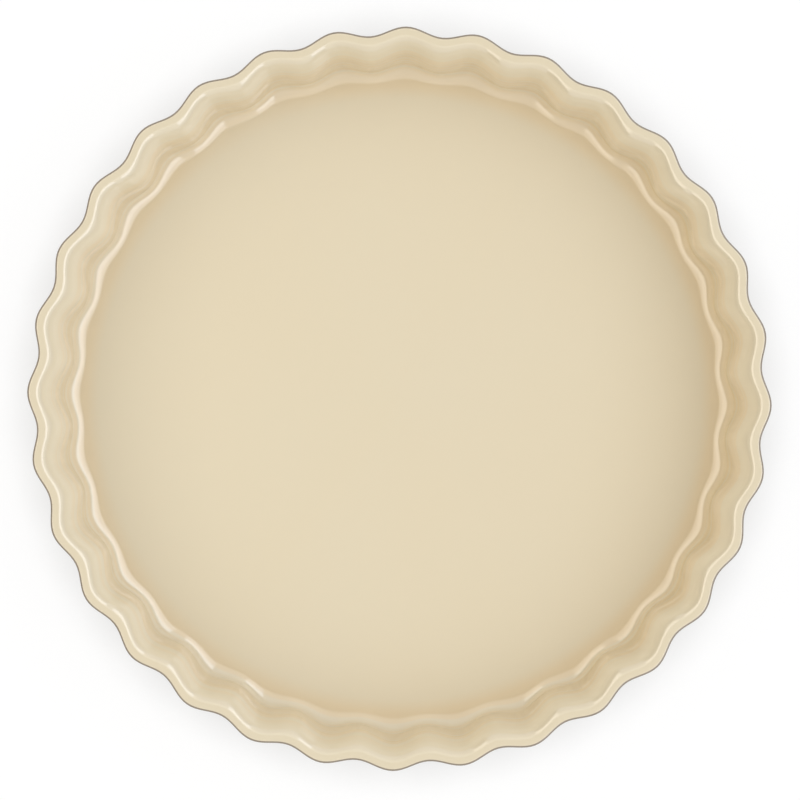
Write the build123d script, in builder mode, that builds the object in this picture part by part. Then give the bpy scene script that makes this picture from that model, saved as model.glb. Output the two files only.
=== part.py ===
from build123d import *
import os
from math import cos, pi, radians, sin, sqrt, tan

os.makedirs("parts", exist_ok=True)

# The dish stands on its foot ring at z = 0, with its axis on Z and the crest of one flute on +X.
# Sizes are in millimetres and degrees. The clay is sized first, and the glaze lies over it.

# Flutes: how far their crests and troughs stray from the mean radius. They are deepest at the waist,
# and fade towards the floor inside and towards the foot outside.
flute_count = 32
rim_wave = 1.6
waist_wave = 1.85
floor_wave = 0.5
heel_wave = 0.8
waist_drop = 10.6

# Heights
clay_height = 38.6
foot_height = 2.0
floor_thickness = 5.6

# Lip, from its outermost edge inwards
rim_radius = 138.0
lip_edge_radius = 0.6
lip_edge_tilt = 110.0
lip_land = 2.05
lip_corner_radius = 1.4
lip_corner_tilt = 35.0
lip_roll_radius = 9.0
lip_roll_tilt = 63.0

# Wall, which flares into the lip above and bends into the floor below
wall_thickness = 5.0
wall_tilt = 83.5
flare_radius = 29.6
bend_radius = 5.8
heel_radius = 3.0

# Foot ring, set back from where the heel turns flat
foot_setback = 10.15
foot_width = 5.0
foot_edge_radius = 0.6

# Glaze
glaze_thickness = 0.4
glaze_line_rise = 3.5
underside_bare_width = 1.0

# Fineness of the sections that the wavy surfaces pass through
points_per_flute = 8
lip_edge_steps = 8
underside_steps = 6
corner_steps = 5
roll_steps = 4
flare_steps = 6
straight_steps = 4
bend_steps = 9
lower_wall_steps = 2
heel_steps = 6
core_steps = 2

quarter_turn = 90.0
half_turn = 180.0
floor_level = foot_height + floor_thickness
lip_edge_level = clay_height - lip_edge_radius
bend_top_level = floor_level + bend_radius * (1 - cos(radians(wall_tilt)))
waist_level = clay_height - waist_drop

# A profile is a list of stations. Each has its distance out from the rim's mean radius, its level and
# the way its surface faces: 0 up, 90 outwards, 180 down and -90 inwards.


def arc(start, radius, from_facing, to_facing, steps):
    """The stations after the start of an arc, whose radius is negative on a hollow surface."""
    middle_out = start[0] - radius * sin(radians(from_facing))
    middle_level = start[1] - radius * cos(radians(from_facing))
    stations = []
    for step in range(1, steps + 1):
        facing = from_facing + (to_facing - from_facing) * step / steps
        out = middle_out + radius * sin(radians(facing))
        level = middle_level + radius * cos(radians(facing))
        stations.append((out, level, facing))
    return stations


def straight(top, end_level, facing, steps):
    """The stations below the top of a wall that leans in at its tilt."""
    stations = []
    for step in range(1, steps + 1):
        level = top[1] + (end_level - top[1]) * step / steps
        out = top[0] - (top[1] - level) / tan(radians(wall_tilt))
        stations.append((out, level, facing))
    return stations


def between(start, end, steps):
    """The stations inside a straight stretch between two others."""
    stations = []
    for step in range(1, steps):
        stations.append(tuple(a + (b - a) * step / steps for a, b in zip(start, end)))
    return stations


def shifted(stations, skin):
    """The same surface, moved by a skin's thickness the way that it faces."""
    return [
        (out + skin * sin(radians(facing)), level + skin * cos(radians(facing)), facing, *wave)
        for out, level, facing, *wave in stations
    ]


def fluted(stations, end_level, end_wave):
    """The stations with the flutes' wave at each, from the rim's through the waist's to the end's."""
    waved = []
    for out, level, facing in stations:
        if level > waist_level:
            height_share = (level - waist_level) / waist_drop
            wave = waist_wave + (rim_wave - waist_wave) * height_share**2
        else:
            depth_share = min((waist_level - level) / (waist_level - end_level), 1)
            wave = end_wave + (waist_wave - end_wave) * sqrt(1 - depth_share**2)
        waved.append((out, level, facing, wave))
    return waved


def fluted_form(stations):
    """A solid through one wavy outline for each station, all drawn through the same turns."""
    point_count = flute_count * points_per_flute
    turns = [2 * pi * point / point_count for point in range(point_count + 1)]
    with BuildPart() as form:
        for out, level, facing, wave in sorted(stations, key=lambda station: station[1]):
            outline = []
            for turn in turns[:-1]:
                radius = rim_radius + out + wave * cos(flute_count * turn)
                outline.append((radius * cos(turn), radius * sin(turn)))
            wavy_edge = Edge.make_spline(outline, periodic=True, parameters=turns)
            with BuildSketch(Plane.XY.offset(level)):
                with BuildLine():
                    add(wavy_edge)
                make_face()
        loft()
    return form.part


# Inside of the clay, from the inner edge of the lip's land down to the floor
land_end = (-lip_edge_radius - lip_land, clay_height, 0.0)
lip_corner = arc(land_end, lip_corner_radius, 0.0, -lip_corner_tilt, corner_steps)
lip_roll = arc(lip_corner[-1], lip_roll_radius, -lip_corner_tilt, -lip_roll_tilt, roll_steps)
flare = arc(lip_roll[-1], flare_radius, -lip_roll_tilt, -wall_tilt, flare_steps)
inner_wall = straight(flare[-1], bend_top_level, -wall_tilt, straight_steps)
bend = arc(inner_wall[-1], -bend_radius, -wall_tilt, 0.0, bend_steps)
inside = [land_end] + lip_corner + lip_roll + flare + inner_wall + bend
inside = fluted(inside, floor_level, floor_wave)

# Middle and outside of the clay wall, parallel to its inside from the flare down
wall_inside = flare + inner_wall
wall_middle = shifted(wall_inside, -wall_thickness / 2)
wall_outside = [
    (out, level, half_turn + facing)
    for out, level, facing in shifted(wall_inside, -wall_thickness)
]

# Outside of the clay, from the heel over the foot up to the outer edge of the lip's land
heel_facing = half_turn - wall_tilt
heel_top_level = foot_height + heel_radius * (1 + cos(radians(heel_facing)))
lower_wall = straight(wall_outside[-1], heel_top_level, heel_facing, lower_wall_steps)
heel = arc(lower_wall[-1], heel_radius, heel_facing, half_turn, heel_steps)
lip_under = (
    -lip_edge_radius * (1 - sin(radians(lip_edge_tilt))),
    lip_edge_level + lip_edge_radius * cos(radians(lip_edge_tilt)),
    lip_edge_tilt,
)
lip_edge = arc(lip_under, lip_edge_radius, lip_edge_tilt, 0.0, lip_edge_steps)
lip_underside = between(wall_outside[0], lip_under, underside_steps)
outside = wall_outside + lower_wall + heel + lip_underside + [lip_under] + lip_edge
outside = fluted(outside, foot_height, heel_wave)

# The foot ring lies on the clay's flat underside, inside the end of the heel
foot_outer_radius = rim_radius + heel[-1][0] - heel_wave - foot_setback
foot_inner_radius = foot_outer_radius - foot_width

clay_outside = fluted_form(outside)
clay_hollow = fluted_form(inside)
glaze_outside = fluted_form(shifted(outside, glaze_thickness))
glaze_hollow = fluted_form(shifted(inside, glaze_thickness))

# The middle of the wall, from half way down the floor to the lip edge, parts the two glazes
lip_middle = (-lip_edge_radius - lip_land / 2, lip_edge_level, -quarter_turn)
upper_middle = between(lip_middle, wall_middle[0], underside_steps)
floor_middle = straight(wall_middle[-1], floor_level - floor_thickness / 2, -wall_tilt, core_steps)
middle = [lip_middle] + upper_middle + wall_middle + floor_middle
wall_core = fluted_form(fluted(middle, foot_height, heel_wave))

# Fired clay: floor, fluted wall, lip and foot ring in one piece
with BuildPart() as stoneware_body:
    add(clay_outside)
    add(clay_hollow, mode=Mode.SUBTRACT)
    with BuildSketch():
        Circle(foot_outer_radius)
        Circle(foot_inner_radius, mode=Mode.SUBTRACT)
    extrude(amount=foot_height)
    foot_edges = stoneware_body.edges().filter_by(GeomType.CIRCLE).group_by(Axis.Z)[0]
    fillet(foot_edges, radius=foot_edge_radius)
stoneware_body.part.label = "stoneware_body"
export_step(stoneware_body.part, "parts/stoneware_body.step")

# Glaze over the floor, the inside of the wall and the lip, down to the lip's outermost edge
with BuildPart() as interior_glaze:
    add(glaze_outside)
    split(bisect_by=Plane.XY.offset(lip_edge_level), keep=Keep.TOP)
    add(wall_core)
    add(glaze_hollow, mode=Mode.SUBTRACT)
    add(stoneware_body.part, mode=Mode.SUBTRACT)
interior_glaze.part.label = "interior_glaze"
export_step(interior_glaze.part, "parts/interior_glaze.step")

# Glaze over the outside of the wall, from the lip's outermost edge down to the glaze line
with BuildPart() as exterior_glaze:
    add(glaze_outside)
    split(bisect_by=Plane.XY.offset(lip_edge_level), keep=Keep.BOTTOM)
    split(bisect_by=Plane.XY.offset(foot_height + glaze_line_rise), keep=Keep.TOP)
    add(wall_core, mode=Mode.SUBTRACT)
    add(stoneware_body.part, mode=Mode.SUBTRACT)
exterior_glaze.part.label = "exterior_glaze"
export_step(exterior_glaze.part, "parts/exterior_glaze.step")

# Glaze over the recess inside the foot ring, wiped back from the ring so that it stays bare
with BuildPart() as underside_glaze:
    with BuildSketch(Plane.XY.offset(foot_height - glaze_thickness)):
        Circle(foot_inner_radius - underside_bare_width)
    extrude(amount=glaze_thickness)
underside_glaze.part.label = "underside_glaze"
export_step(underside_glaze.part, "parts/underside_glaze.step")
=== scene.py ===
import math

import bpy
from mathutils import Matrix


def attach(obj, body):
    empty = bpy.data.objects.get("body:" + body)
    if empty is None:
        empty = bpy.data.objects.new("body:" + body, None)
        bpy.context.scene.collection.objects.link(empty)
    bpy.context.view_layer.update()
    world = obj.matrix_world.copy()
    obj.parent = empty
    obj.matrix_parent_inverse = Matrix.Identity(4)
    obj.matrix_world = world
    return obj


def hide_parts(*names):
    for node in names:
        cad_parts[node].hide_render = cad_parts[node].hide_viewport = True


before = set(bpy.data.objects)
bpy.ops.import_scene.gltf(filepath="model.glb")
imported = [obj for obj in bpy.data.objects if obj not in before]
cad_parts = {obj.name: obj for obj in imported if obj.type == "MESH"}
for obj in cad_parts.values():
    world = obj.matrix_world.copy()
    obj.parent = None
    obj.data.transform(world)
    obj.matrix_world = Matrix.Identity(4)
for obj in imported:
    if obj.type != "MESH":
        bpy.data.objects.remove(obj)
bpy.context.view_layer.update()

# The body is one piece of buff stoneware: floor, fluted wall, lip, heel and foot ring, slip cast in a
# plaster mould and fired hard. It stays bare and gritty on the foot ring and the heel, and on the strip
# beside the ring that is wiped clean before firing.
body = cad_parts["stoneware_body"]
bare_clay = bpy.data.materials.new("bare_stoneware")
bare_clay.use_nodes = True
clay_nodes = bare_clay.node_tree.nodes
clay_links = bare_clay.node_tree.links
clay_shader = clay_nodes["Principled BSDF"]
clay_shader.inputs["IOR"].default_value = 1.45
clay_place = clay_nodes.new("ShaderNodeTexCoord")

# Fired clay is a little redder in patches, where the kiln was hotter.
clay_cloud = clay_nodes.new("ShaderNodeTexNoise")
clay_cloud.inputs["Scale"].default_value = 24
clay_cloud.inputs["Detail"].default_value = 5
clay_links.new(clay_place.outputs["Object"], clay_cloud.inputs["Vector"])
clay_tone = clay_nodes.new("ShaderNodeValToRGB")
clay_tone.color_ramp.elements[0].position = 0.35
clay_tone.color_ramp.elements[0].color = (0.40, 0.28, 0.18, 1)
clay_tone.color_ramp.elements[1].position = 0.68
clay_tone.color_ramp.elements[1].color = (0.52, 0.39, 0.26, 1)
clay_links.new(clay_cloud.outputs["Fac"], clay_tone.inputs["Fac"])

# Grog, the crushed fired clay in the mix, shows as dark and pale grains under a millimetre across.
grog_cells = clay_nodes.new("ShaderNodeTexVoronoi")
grog_cells.inputs["Scale"].default_value = 1100
clay_links.new(clay_place.outputs["Object"], grog_cells.inputs["Vector"])
grog_grains = clay_nodes.new("ShaderNodeValToRGB")
grog_grains.color_ramp.elements[0].position = 0.0
grog_grains.color_ramp.elements[0].color = (0.62, 0.62, 0.62, 1)
grog_grains.color_ramp.elements[1].position = 0.30
grog_grains.color_ramp.elements[1].color = (1, 1, 1, 1)
clay_links.new(grog_cells.outputs["Distance"], grog_grains.inputs["Fac"])
clay_mix = clay_nodes.new("ShaderNodeMix")
clay_mix.data_type = "RGBA"
clay_mix.blend_type = "MULTIPLY"
clay_mix.inputs["Factor"].default_value = 0.55
clay_links.new(clay_tone.outputs["Color"], clay_mix.inputs["A"])
clay_links.new(grog_grains.outputs["Color"], clay_mix.inputs["B"])
clay_links.new(clay_mix.outputs["Result"], clay_shader.inputs["Base Color"])

clay_roughness = clay_nodes.new("ShaderNodeMapRange")
clay_roughness.inputs["To Min"].default_value = 0.78
clay_roughness.inputs["To Max"].default_value = 0.93
clay_links.new(clay_cloud.outputs["Fac"], clay_roughness.inputs["Value"])
clay_links.new(clay_roughness.outputs["Result"], clay_shader.inputs["Roughness"])
clay_grit = clay_nodes.new("ShaderNodeTexNoise")
clay_grit.inputs["Scale"].default_value = 1500
clay_grit.inputs["Detail"].default_value = 4
clay_links.new(clay_place.outputs["Object"], clay_grit.inputs["Vector"])
clay_bump = clay_nodes.new("ShaderNodeBump")
clay_bump.inputs["Strength"].default_value = 0.5
clay_bump.inputs["Distance"].default_value = 0.00025
clay_links.new(clay_grit.outputs["Fac"], clay_bump.inputs["Height"])
clay_links.new(clay_bump.outputs["Normal"], clay_shader.inputs["Normal"])
body.data.materials.clear()
body.data.materials.append(bare_clay)

# The inside glaze is a coat of cream glass 0.4 mm thick, poured into the fired clay and swirled round.
# It covers the lip, the wall and the floor in one, and is coloured dark brown on the lip's outer edge.
glaze_thickness = 0.0004
flute_count = 32
points_around = 512
rim_wave = 0.0016
waist_wave = 0.00185
floor_wave = 0.0005
heel_wave = 0.0008
rim_radius = 0.138
lip_level = 0.0386
waist_drop = 0.0106
foot_level = 0.002
floor_level = 0.0076
lip_edge_radius = 0.0006
lip_edge_steps = 8
lip_land = 0.00205
lip_corner_radius = 0.0014
lip_corner_tilt = 35.0
lip_roll_radius = 0.009
lip_roll_tilt = 63.0
flare_radius = 0.0296
wall_tilt = 83.5
bend_radius = 0.0058
curve_steps = 12
bend_steps = 20
wall_steps = 5
floor_ring_radii = (0.115, 0.108, 0.08, 0.04, 0.012)
centre_inset = 0.006
smooth_angle = 40.0
waist_level = lip_level - waist_drop
bend_top_level = floor_level + bend_radius * (1 - math.cos(math.radians(wall_tilt)))


# A profile is a list of places on the clay: the distance out from the rim's mean radius, the level and
# the way that the surface faces, 0 up, 90 outwards and -90 inwards.
def curve(start, radius, from_facing, to_facing, steps):
    """The places after the start of an arc, whose radius is negative on a hollow surface."""
    middle_out = start[0] - radius * math.sin(math.radians(from_facing))
    middle_level = start[1] - radius * math.cos(math.radians(from_facing))
    places = []
    for step in range(1, steps + 1):
        facing = from_facing + (to_facing - from_facing) * step / steps
        out = middle_out + radius * math.sin(math.radians(facing))
        level = middle_level + radius * math.cos(math.radians(facing))
        places.append((out, level, facing))
    return places


def run(start, end, steps):
    """The places after the start of a straight stretch."""
    places = []
    for step in range(1, steps + 1):
        places.append(tuple(a + (b - a) * step / steps for a, b in zip(start, end)))
    return places


def leaning_wall(top, end_level, facing):
    """The lower end of a wall that leans in at its tilt."""
    out = top[0] - (top[1] - end_level) / math.tan(math.radians(wall_tilt))
    return (out, end_level, facing)


def coated(places, end_level, end_wave):
    """The glaze's surface over the places: the radius, the level and the depth of the flutes."""
    rings = []
    for out, level, facing in places:
        if level > waist_level:
            height_share = (level - waist_level) / waist_drop
            wave = waist_wave + (rim_wave - waist_wave) * height_share**2
        else:
            depth_share = min((waist_level - level) / (waist_level - end_level), 1)
            wave = end_wave + (waist_wave - end_wave) * math.sqrt(1 - depth_share**2)
        radius = rim_radius + out + glaze_thickness * math.sin(math.radians(facing))
        rings.append((radius, level + glaze_thickness * math.cos(math.radians(facing)), wave))
    return rings


def glaze_skin(name, rings):
    """A ring of points, extruded from each ring of the profile to the next, then moved into flutes."""
    bpy.ops.object.select_all(action="DESELECT")
    radius, level, _ = rings[0]
    bpy.ops.mesh.primitive_circle_add(vertices=points_around, radius=radius, location=(0, 0, level))
    skin = bpy.context.active_object
    skin.name = name
    bpy.ops.object.transform_apply(location=True, rotation=True, scale=True)
    bpy.ops.object.mode_set(mode="EDIT")
    bpy.ops.mesh.select_all(action="SELECT")
    for next_radius, next_level, _ in rings[1:]:
        rise = (0, 0, next_level - level)
        bpy.ops.mesh.extrude_region_move(TRANSFORM_OT_translate={"value": rise})
        bpy.ops.transform.resize(
            value=(next_radius / radius, next_radius / radius, 1),
            center_override=(0, 0, next_level),
        )
        radius, level = next_radius, next_level
    bpy.ops.object.mode_set(mode="OBJECT")
    for point in skin.data.vertices:
        wave = rings[point.index // points_around][2]
        turn = math.atan2(point.co.y, point.co.x)
        distance = math.hypot(point.co.x, point.co.y) + wave * math.cos(flute_count * turn)
        point.co.x = distance * math.cos(turn)
        point.co.y = distance * math.sin(turn)
    return skin


def give_thickness(skin):
    """The skin as a closed coat, with its inner side on the clay."""
    coat = skin.modifiers.new("coat", "SOLIDIFY")
    coat.thickness = glaze_thickness
    coat.offset = -1
    coat.use_even_offset = True
    bpy.ops.object.modifier_apply(modifier="coat")
    bpy.ops.object.shade_smooth_by_angle(angle=math.radians(smooth_angle))


lip_start = (0.0, lip_level - lip_edge_radius, 90.0)
lip_edge = curve(lip_start, lip_edge_radius, 90.0, 0.0, lip_edge_steps)
land_end = (-lip_edge_radius - lip_land, lip_level, 0.0)
lip_corner = curve(land_end, lip_corner_radius, 0.0, -lip_corner_tilt, curve_steps)
lip_roll = curve(lip_corner[-1], lip_roll_radius, -lip_corner_tilt, -lip_roll_tilt, curve_steps)
flare = curve(lip_roll[-1], flare_radius, -lip_roll_tilt, -wall_tilt, curve_steps)
wall_foot = leaning_wall(flare[-1], bend_top_level, -wall_tilt)
inner_wall = run(flare[-1], wall_foot, wall_steps)
bend = curve(wall_foot, -bend_radius, -wall_tilt, 0.0, bend_steps)
inside_places = [lip_start] + lip_edge + run(lip_edge[-1], land_end, wall_steps)
inside_places += lip_corner + lip_roll + flare + inner_wall + bend
inside_rings = coated(inside_places, floor_level, floor_wave)
for floor_ring_radius in floor_ring_radii:
    inside_rings.append((floor_ring_radius, inside_rings[-1][1], 0.0))

inside = glaze_skin("inside_glaze_coat", inside_rings)
bpy.ops.object.mode_set(mode="EDIT")
bpy.ops.mesh.edge_face_add()
bpy.ops.mesh.inset(thickness=centre_inset)
bpy.ops.mesh.merge(type="CENTER")
bpy.ops.mesh.select_all(action="SELECT")
bpy.ops.mesh.normals_make_consistent(inside=False)
bpy.ops.object.mode_set(mode="OBJECT")
give_thickness(inside)

# All three coats are the same cream glass, so they share one set of effects: a faint clouding, a deeper
# tone where it lies thicker, which on the lower wall and round the floor is also painted shade, the
# mould's rings with pale streaks of painted reflection on their ridges, the ripple of a melted surface,
# and a dark brown, rougher band on the lip's outermost edge.
glaze_effects = bpy.data.node_groups.new("cream_glass", "ShaderNodeTree")
glaze_sockets = glaze_effects.interface
for socket_name, socket_type in (
    ("Coat", "NodeSocketColor"),
    ("Thick And Shade", "NodeSocketColor"),
    ("Dark Edge", "NodeSocketColor"),
    ("Dark Edge From", "NodeSocketFloat"),
    ("Dark Edge To", "NodeSocketFloat"),
    ("Sheen Low", "NodeSocketFloat"),
    ("Sheen High", "NodeSocketFloat"),
    ("Rings", "NodeSocketFloat"),
):
    glaze_sockets.new_socket(name=socket_name, in_out="INPUT", socket_type=socket_type)
glaze_sockets.new_socket(name="Color", in_out="OUTPUT", socket_type="NodeSocketColor")
glaze_sockets.new_socket(name="Roughness", in_out="OUTPUT", socket_type="NodeSocketFloat")
glaze_sockets.new_socket(name="Height", in_out="OUTPUT", socket_type="NodeSocketFloat")
effect_nodes = glaze_effects.nodes
effect_links = glaze_effects.links
effect_in = effect_nodes.new("NodeGroupInput")
effect_out = effect_nodes.new("NodeGroupOutput")
glaze_place = effect_nodes.new("ShaderNodeTexCoord")

cloud = effect_nodes.new("ShaderNodeTexNoise")
cloud.inputs["Scale"].default_value = 16
cloud.inputs["Detail"].default_value = 3
effect_links.new(glaze_place.outputs["Object"], cloud.inputs["Vector"])
cloud_share = effect_nodes.new("ShaderNodeMapRange")
cloud_share.inputs["From Min"].default_value = 0.3
cloud_share.inputs["From Max"].default_value = 0.7
cloud_share.inputs["To Max"].default_value = 0.12
effect_links.new(cloud.outputs["Fac"], cloud_share.inputs["Value"])

# The glaze runs down the wall before it sets, and lies thickest on the lower wall and round the floor.
# There it takes the deeper, more orange colour, which is also painted shade: it stands in for the warm
# shade that light bounced between the wall and the floor gives that corner.
glaze_parts = effect_nodes.new("ShaderNodeSeparateXYZ")
effect_links.new(glaze_place.outputs["Object"], glaze_parts.inputs["Vector"])
flat_place = effect_nodes.new("ShaderNodeCombineXYZ")
effect_links.new(glaze_parts.outputs["X"], flat_place.inputs["X"])
effect_links.new(glaze_parts.outputs["Y"], flat_place.inputs["Y"])
axis_distance = effect_nodes.new("ShaderNodeVectorMath")
axis_distance.operation = "LENGTH"
effect_links.new(flat_place.outputs["Vector"], axis_distance.inputs[0])
outer_share = effect_nodes.new("ShaderNodeMapRange")
outer_share.interpolation_type = "SMOOTHSTEP"
outer_share.inputs["From Min"].default_value = 0.114
outer_share.inputs["From Max"].default_value = 0.124
effect_links.new(axis_distance.outputs["Value"], outer_share.inputs["Value"])
low_share = effect_nodes.new("ShaderNodeMapRange")
low_share.interpolation_type = "SMOOTHSTEP"
low_share.inputs["From Min"].default_value = 0.0375
low_share.inputs["From Max"].default_value = 0.026
effect_links.new(glaze_parts.outputs["Z"], low_share.inputs["Value"])
pool_and_shade_share = effect_nodes.new("ShaderNodeMath")
pool_and_shade_share.operation = "MULTIPLY"
effect_links.new(outer_share.outputs["Result"], pool_and_shade_share.inputs[0])
effect_links.new(low_share.outputs["Result"], pool_and_shade_share.inputs[1])
# The wall keeps faint rings from the turned mould, which also bump the surface. The glaze lies thinner
# on their ridges and is paler there, and these fine pale streaks are also painted reflection: they
# stand in for the reflection lines of the glossy wall.
ring_place = effect_nodes.new("ShaderNodeVectorMath")
ring_place.operation = "MULTIPLY"
ring_place.inputs[1].default_value = (0.01, 0.01, 1)
effect_links.new(glaze_place.outputs["Object"], ring_place.inputs[0])
wall_rings = effect_nodes.new("ShaderNodeTexNoise")
wall_rings.inputs["Scale"].default_value = 520
wall_rings.inputs["Detail"].default_value = 1
effect_links.new(ring_place.outputs["Vector"], wall_rings.inputs["Vector"])
ridge_and_reflection_streaks = effect_nodes.new("ShaderNodeMapRange")
ridge_and_reflection_streaks.inputs["From Min"].default_value = 0.45
ridge_and_reflection_streaks.inputs["From Max"].default_value = 0.6
ridge_and_reflection_streaks.inputs["To Min"].default_value = 1.5
ridge_and_reflection_streaks.inputs["To Max"].default_value = 0.1
effect_links.new(wall_rings.outputs["Fac"], ridge_and_reflection_streaks.inputs["Value"])
pool_shade_and_streaks = effect_nodes.new("ShaderNodeMath")
pool_shade_and_streaks.operation = "MULTIPLY"
pool_shade_and_streaks.use_clamp = True
effect_links.new(pool_and_shade_share.outputs["Value"], pool_shade_and_streaks.inputs[0])
effect_links.new(ridge_and_reflection_streaks.outputs["Result"], pool_shade_and_streaks.inputs[1])
thick_and_shade_share = effect_nodes.new("ShaderNodeMath")
thick_and_shade_share.operation = "MAXIMUM"
effect_links.new(pool_shade_and_streaks.outputs["Value"], thick_and_shade_share.inputs[0])
effect_links.new(cloud_share.outputs["Result"], thick_and_shade_share.inputs[1])
clouded_and_shaded = effect_nodes.new("ShaderNodeMix")
clouded_and_shaded.data_type = "RGBA"
effect_links.new(thick_and_shade_share.outputs["Value"], clouded_and_shaded.inputs["Factor"])
effect_links.new(effect_in.outputs["Coat"], clouded_and_shaded.inputs["A"])
effect_links.new(effect_in.outputs["Thick And Shade"], clouded_and_shaded.inputs["B"])

# The dark brown edge band follows the wavy edge: the distance from the axis, less the flutes' wave at
# the rim.
turn_round = effect_nodes.new("ShaderNodeMath")
turn_round.operation = "ARCTAN2"
effect_links.new(glaze_parts.outputs["Y"], turn_round.inputs[0])
effect_links.new(glaze_parts.outputs["X"], turn_round.inputs[1])
flute_turn = effect_nodes.new("ShaderNodeMath")
flute_turn.operation = "MULTIPLY"
flute_turn.inputs[1].default_value = flute_count
effect_links.new(turn_round.outputs["Value"], flute_turn.inputs[0])
flute_height = effect_nodes.new("ShaderNodeMath")
flute_height.operation = "COSINE"
effect_links.new(flute_turn.outputs["Value"], flute_height.inputs[0])
unfluted_distance = effect_nodes.new("ShaderNodeMath")
unfluted_distance.operation = "MULTIPLY_ADD"
unfluted_distance.inputs[1].default_value = -rim_wave
effect_links.new(flute_height.outputs["Value"], unfluted_distance.inputs[0])
effect_links.new(axis_distance.outputs["Value"], unfluted_distance.inputs[2])
dark_edge_share = effect_nodes.new("ShaderNodeMapRange")
dark_edge_share.interpolation_type = "SMOOTHSTEP"
effect_links.new(unfluted_distance.outputs["Value"], dark_edge_share.inputs["Value"])
effect_links.new(effect_in.outputs["Dark Edge From"], dark_edge_share.inputs["From Min"])
effect_links.new(effect_in.outputs["Dark Edge To"], dark_edge_share.inputs["From Max"])
dark_edged = effect_nodes.new("ShaderNodeMix")
dark_edged.data_type = "RGBA"
effect_links.new(dark_edge_share.outputs["Result"], dark_edged.inputs["Factor"])
effect_links.new(clouded_and_shaded.outputs["Result"], dark_edged.inputs["A"])
effect_links.new(effect_in.outputs["Dark Edge"], dark_edged.inputs["B"])
effect_links.new(dark_edged.outputs["Result"], effect_out.inputs["Color"])

sheen = effect_nodes.new("ShaderNodeMapRange")
effect_links.new(cloud.outputs["Fac"], sheen.inputs["Value"])
effect_links.new(effect_in.outputs["Sheen Low"], sheen.inputs["To Min"])
effect_links.new(effect_in.outputs["Sheen High"], sheen.inputs["To Max"])
dulled = effect_nodes.new("ShaderNodeMath")
dulled.operation = "MULTIPLY_ADD"
dulled.inputs[1].default_value = 0.35
effect_links.new(dark_edge_share.outputs["Result"], dulled.inputs[0])
effect_links.new(sheen.outputs["Result"], dulled.inputs[2])
effect_links.new(dulled.outputs["Value"], effect_out.inputs["Roughness"])

ripple = effect_nodes.new("ShaderNodeTexNoise")
ripple.inputs["Scale"].default_value = 120
ripple.inputs["Detail"].default_value = 2
effect_links.new(glaze_place.outputs["Object"], ripple.inputs["Vector"])

surface = effect_nodes.new("ShaderNodeMath")
surface.operation = "MULTIPLY_ADD"
effect_links.new(wall_rings.outputs["Fac"], surface.inputs[0])
effect_links.new(effect_in.outputs["Rings"], surface.inputs[1])
effect_links.new(ripple.outputs["Fac"], surface.inputs[2])
effect_links.new(surface.outputs["Value"], effect_out.inputs["Height"])


def glaze_finish(name, colours, dark_edge_radii, sheens, ripple_depth, ring_share):
    """One coat's material: its colours, its dark edge band, its sheen, and how deep its ripple and
    rings are.
    """
    finish = bpy.data.materials.new(name)
    finish.use_nodes = True
    nodes = finish.node_tree.nodes
    links = finish.node_tree.links
    shader = nodes["Principled BSDF"]
    shader.inputs["IOR"].default_value = 2.0
    effects = nodes.new("ShaderNodeGroup")
    effects.node_tree = glaze_effects
    for socket_name, colour in zip(("Coat", "Thick And Shade", "Dark Edge"), colours):
        effects.inputs[socket_name].default_value = (*colour, 1)
    effects.inputs["Dark Edge From"].default_value = dark_edge_radii[0]
    effects.inputs["Dark Edge To"].default_value = dark_edge_radii[1]
    effects.inputs["Sheen Low"].default_value = sheens[0]
    effects.inputs["Sheen High"].default_value = sheens[1]
    effects.inputs["Rings"].default_value = ring_share
    bump = nodes.new("ShaderNodeBump")
    bump.inputs["Strength"].default_value = 1.0
    bump.inputs["Distance"].default_value = ripple_depth
    links.new(effects.outputs["Color"], shader.inputs["Base Color"])
    links.new(effects.outputs["Roughness"], shader.inputs["Roughness"])
    links.new(effects.outputs["Height"], bump.inputs["Height"])
    links.new(bump.outputs["Normal"], shader.inputs["Normal"])
    return finish


cream = (0.685, 0.605, 0.44)
# The deep cream is the coat's colour where it lies thicker, and the base glaze's own colour. On the
# lower wall and floor margin it is also painted shade.
deep_cream = (0.70, 0.58, 0.385)
# A dark brown for the lip's outermost edge, where the coat is also rougher.
dark_edge_brown = (0.20, 0.155, 0.10)
glaze_colours = (cream, deep_cream, dark_edge_brown)
inside_dark_edge = (0.13752, 0.13778)
inside_sheen = (0.015, 0.03)
inside_ripple = 0.000001
inside_rings_share = 14.0
inside.data.materials.append(
    glaze_finish(
        "inside_cream", glaze_colours, inside_dark_edge, inside_sheen, inside_ripple, inside_rings_share
    )
)
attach(inside, "root")
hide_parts("interior_glaze")

# The outside glaze is dipped on, from the lip's outermost edge down to a line above the heel, where it
# is sponged off so that the dish doesn't stick to the kiln shelf. It ends there in a soft rounded bead.
wall_thickness = 0.005
lip_under_tilt = 110.0
under_steps = 8
glaze_line_level = 0.0055
line_bead = 0.00018
bead_steps = 3
lip_under = (
    -lip_edge_radius * (1 - math.sin(math.radians(lip_under_tilt))),
    lip_level - lip_edge_radius + lip_edge_radius * math.cos(math.radians(lip_under_tilt)),
    lip_under_tilt,
)
wall_back = []
for out, level, facing in flare + inner_wall:
    back_out = out - wall_thickness * math.sin(math.radians(facing))
    back_level = level - wall_thickness * math.cos(math.radians(facing))
    wall_back.append((back_out, back_level, 180 + facing))
glaze_line = leaning_wall(wall_back[-1], glaze_line_level, 180 - wall_tilt)
outside_places = [lip_start] + curve(lip_start, lip_edge_radius, 90.0, lip_under_tilt, wall_steps)
outside_places += run(lip_under, wall_back[0], under_steps) + wall_back[1:]
outside_places += run(wall_back[-1], glaze_line, wall_steps)
outside_rings = coated(outside_places, foot_level, heel_wave)

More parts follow.
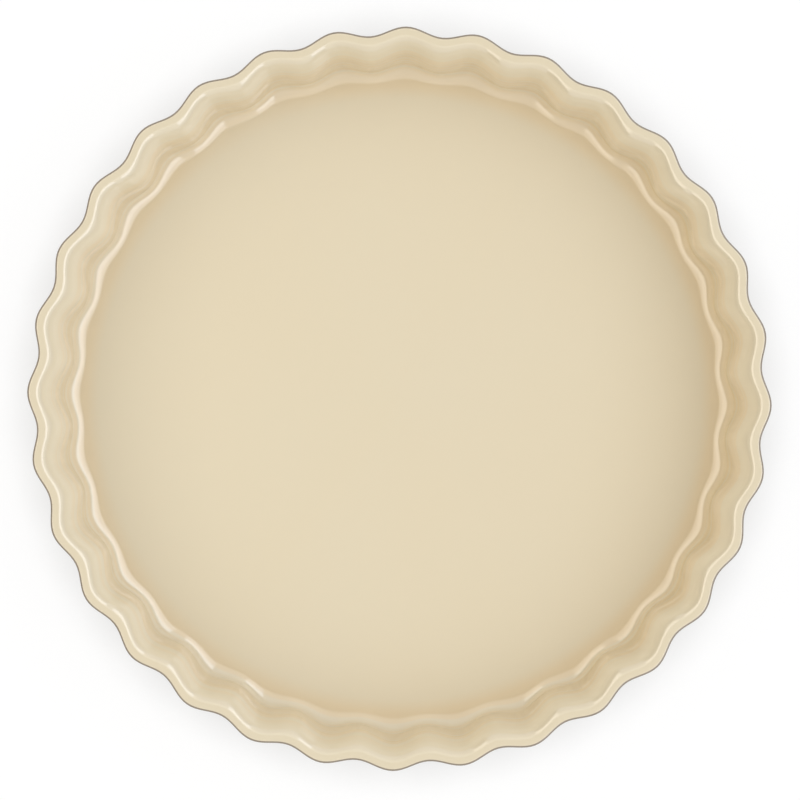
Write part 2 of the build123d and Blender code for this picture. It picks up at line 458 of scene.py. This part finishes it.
outside = glaze_skin("outside_glaze_coat", outside_rings)
bpy.ops.object.mode_set(mode="EDIT")
bpy.ops.mesh.select_all(action="SELECT")
bpy.ops.mesh.normals_make_consistent(inside=False)
bpy.ops.object.mode_set(mode="OBJECT")
give_thickness(outside)
line_points = range(points_around * (len(outside_rings) - 1), points_around * len(outside_rings))
bpy.ops.object.mode_set(mode="EDIT")
bpy.ops.mesh.select_mode(type="EDGE")
bpy.ops.mesh.select_all(action="DESELECT")
bpy.ops.object.mode_set(mode="OBJECT")
for edge in outside.data.edges:
    edge.select = edge.vertices[0] in line_points and edge.vertices[1] in line_points
bpy.ops.object.mode_set(mode="EDIT")
bpy.ops.mesh.bevel(offset=line_bead, segments=bead_steps, affect="EDGES")
bpy.ops.object.mode_set(mode="OBJECT")
outside_dark_edge = (0.1380, 0.1383)
outside_sheen = (0.05, 0.09)
outside_ripple = 0.000006
outside_rings_share = 0.6
outside_depths = (outside_ripple, outside_rings_share)
outside.data.materials.append(
    glaze_finish(
        "outside_cream", glaze_colours, outside_dark_edge, outside_sheen, *outside_depths
    )
)
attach(outside, "root")
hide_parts("exterior_glaze")

# The base glaze is a thin brushed coat in the recess inside the foot ring, duller than the others.
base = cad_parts["underside_glaze"]
base_colours = (deep_cream, cream, dark_edge_brown)
dark_edge_past_the_dish = (1.0, 2.0)
base_sheen = (0.22, 0.36)
base_ripple = 0.00001
no_rings = 0.0
base.data.materials.clear()
base.data.materials.append(
    glaze_finish(
        "base_cream", base_colours, dark_edge_past_the_dish, base_sheen, base_ripple, no_rings
    )
)

# The table is a plain pale sheet that fills the picture. The camera and the glaze see it white, but
# for the shade close round the dish.
table_half_width = 3.0
table_white_share = 0.9
nook_reach = 0.026
bpy.ops.object.select_all(action="DESELECT")
bpy.ops.mesh.primitive_plane_add(size=2 * table_half_width, location=(0, 0, 0))
table = bpy.context.active_object
table.name = "table"
table_finish = bpy.data.materials.new("pale_table")
table_finish.use_nodes = True
table_nodes = table_finish.node_tree.nodes
table_links = table_finish.node_tree.links
table_shader = table_nodes["Principled BSDF"]
table_shader.inputs["Base Color"].default_value = (0.9, 0.9, 0.9, 1.0)
table_shader.inputs["Roughness"].default_value = 0.9
table_rays = table_nodes.new("ShaderNodeLightPath")
camera_or_glossy = table_nodes.new("ShaderNodeMath")
camera_or_glossy.operation = "MAXIMUM"
table_links.new(table_rays.outputs["Is Camera Ray"], camera_or_glossy.inputs[0])
table_links.new(table_rays.outputs["Is Glossy Ray"], camera_or_glossy.inputs[1])
seen_rays = table_nodes.new("ShaderNodeMath")
seen_rays.operation = "MAXIMUM"
table_links.new(camera_or_glossy.outputs["Value"], seen_rays.inputs[0])
table_links.new(table_rays.outputs["Is Transmission Ray"], seen_rays.inputs[1])
white_share = table_nodes.new("ShaderNodeMath")
white_share.operation = "MULTIPLY"
white_share.inputs[1].default_value = table_white_share
table_links.new(seen_rays.outputs["Value"], white_share.inputs[0])
table_white = table_nodes.new("ShaderNodeEmission")
table_nook = table_nodes.new("ShaderNodeAmbientOcclusion")
table_nook.inputs["Distance"].default_value = nook_reach
nook_tone = table_nodes.new("ShaderNodeValToRGB")
nook_tone.color_ramp.elements[0].position = 0.35
nook_tone.color_ramp.elements[0].color = (0.66, 0.655, 0.65, 1)
nook_tone.color_ramp.elements[1].position = 0.95
nook_tone.color_ramp.elements[1].color = (1, 1, 1, 1)
table_links.new(table_nook.outputs["AO"], nook_tone.inputs["Fac"])
table_links.new(nook_tone.outputs["Color"], table_white.inputs["Color"])
table_mix = table_nodes.new("ShaderNodeMixShader")
table_links.new(white_share.outputs["Value"], table_mix.inputs["Fac"])
table_links.new(table_shader.outputs["BSDF"], table_mix.inputs[1])
table_links.new(table_white.outputs["Emission"], table_mix.inputs[2])
table_links.new(table_mix.outputs["Shader"], table_nodes["Material Output"].inputs["Surface"])
table.data.materials.append(table_finish)

# The studio has a large soft box on each side that reaches up over the dish, and dim walls in front
# and behind. They are painted on the world, in bands of elevation that each have their own strength.
world = bpy.data.worlds.new("studio")
bpy.context.scene.world = world
world.use_nodes = True
world_nodes = world.node_tree.nodes
world_links = world.node_tree.links
box_half_turn = 58.0
brightest = 5.0


def world_math(operation, *values):
    """One Math node of the world, with sockets or numbers as its inputs."""
    node = world_nodes.new("ShaderNodeMath")
    node.operation = operation
    for place, value in enumerate(values):
        if isinstance(value, (int, float)):
            node.inputs[place].default_value = value
        else:
            world_links.new(value, node.inputs[place])
    return node.outputs["Value"]


def light_bands(elevation, bands, tint):
    """A light's colour over its elevation: each band has its lower edge, and the next ends it."""
    ramp = world_nodes.new("ShaderNodeValToRGB")
    stops = ramp.color_ramp.elements
    ramp.color_ramp.interpolation = "CONSTANT"
    for count, (lower_edge, strength) in enumerate(bands):
        stop = stops[0] if count == 0 else stops.new(lower_edge / 90)
        stop.position = lower_edge / 90
        stop.color = [strength * channel / brightest for channel in tint] + [1]
    stops.remove(stops[-1])
    world_links.new(elevation, ramp.inputs["Fac"])
    return ramp.outputs["Color"]


def mixed(share, first, second):
    """The first light, and the second where the share is 1."""
    mix = world_nodes.new("ShaderNodeMix")
    mix.data_type = "RGBA"
    world_links.new(share, mix.inputs["Factor"])
    world_links.new(first, mix.inputs["A"])
    world_links.new(second, mix.inputs["B"])
    return mix.outputs["Result"]


sky_direction = world_nodes.new("ShaderNodeTexCoord")
sky_parts = world_nodes.new("ShaderNodeSeparateXYZ")
world_links.new(sky_direction.outputs["Generated"], sky_parts.inputs["Vector"])
sideways = world_math("ABSOLUTE", sky_parts.outputs["X"])
lengthways = world_math("ABSOLUTE", sky_parts.outputs["Y"])
box_reach = world_math("MULTIPLY", sideways, math.tan(math.radians(box_half_turn)))
in_side_box = world_math("GREATER_THAN", box_reach, lengthways)
on_right = world_math("GREATER_THAN", sky_parts.outputs["X"], 0)
quarter_turn = math.pi / 2
side_angle = world_math("ARCTAN2", sky_parts.outputs["Z"], sideways)
side_rise = world_math("DIVIDE", side_angle, quarter_turn)
strip_angle = world_math("ARCTAN2", sky_parts.outputs["Z"], lengthways)
strip_rise = world_math("DIVIDE", strip_angle, quarter_turn)
right_bands = ((0, 0.2), (12, 0.7), (27, 2.2), (60, 1.5), (79, 0.2))
left_bands = ((0, 0.1), (12, 0.2), (27, 1.87), (60, 1.25), (79, 0.2))
strip_bands = ((0, 0.8), (79, 0.2))
right_light = light_bands(side_rise, right_bands, (0.98, 1.0, 1.06))
left_light = light_bands(side_rise, left_bands, (1.03, 0.975, 0.89))
strip_light = light_bands(strip_rise, strip_bands, (1.0, 1.0, 1.0))
side_light = mixed(on_right, left_light, right_light)
studio_light = mixed(in_side_box, strip_light, side_light)
room = world_nodes["Background"]
room.inputs["Strength"].default_value = brightest
world_links.new(studio_light, room.inputs["Color"])

# The camera itself sees plain white behind everything.
seen_room = world_nodes.new("ShaderNodeBackground")
seen_room.inputs["Color"].default_value = (1, 1, 1, 1)
sky_rays = world_nodes.new("ShaderNodeLightPath")
sky_mix = world_nodes.new("ShaderNodeMixShader")
world_links.new(sky_rays.outputs["Is Camera Ray"], sky_mix.inputs["Fac"])
world_links.new(room.outputs["Background"], sky_mix.inputs[1])
world_links.new(seen_room.outputs["Background"], sky_mix.inputs[2])
world_links.new(sky_mix.outputs["Shader"], world_nodes["World Output"].inputs["Surface"])

# The camera looks straight down from 1.4 m above the lip, very slightly off the dish's axis and turned.
camera_height = 1.4
dish_height = lip_level + glaze_thickness
outline_radius = 0.1384
outline_pixels = 368.3
picture_pixels = 800
pixel = outline_radius / outline_pixels
camera_data = bpy.data.cameras.new("camera")
camera_data.sensor_width = 36
camera_data.lens = camera_data.sensor_width * camera_height / (picture_pixels * pixel)
camera_data.clip_end = 100
camera = bpy.data.objects.new("camera", camera_data)
camera.location = (0.6 * pixel, -1.2 * pixel, dish_height + camera_height)
camera.rotation_euler = (0, 0, math.radians(1.08))
bpy.context.scene.collection.objects.link(camera)
bpy.context.scene.camera = camera
bpy.context.scene.view_settings.view_transform = "Standard"
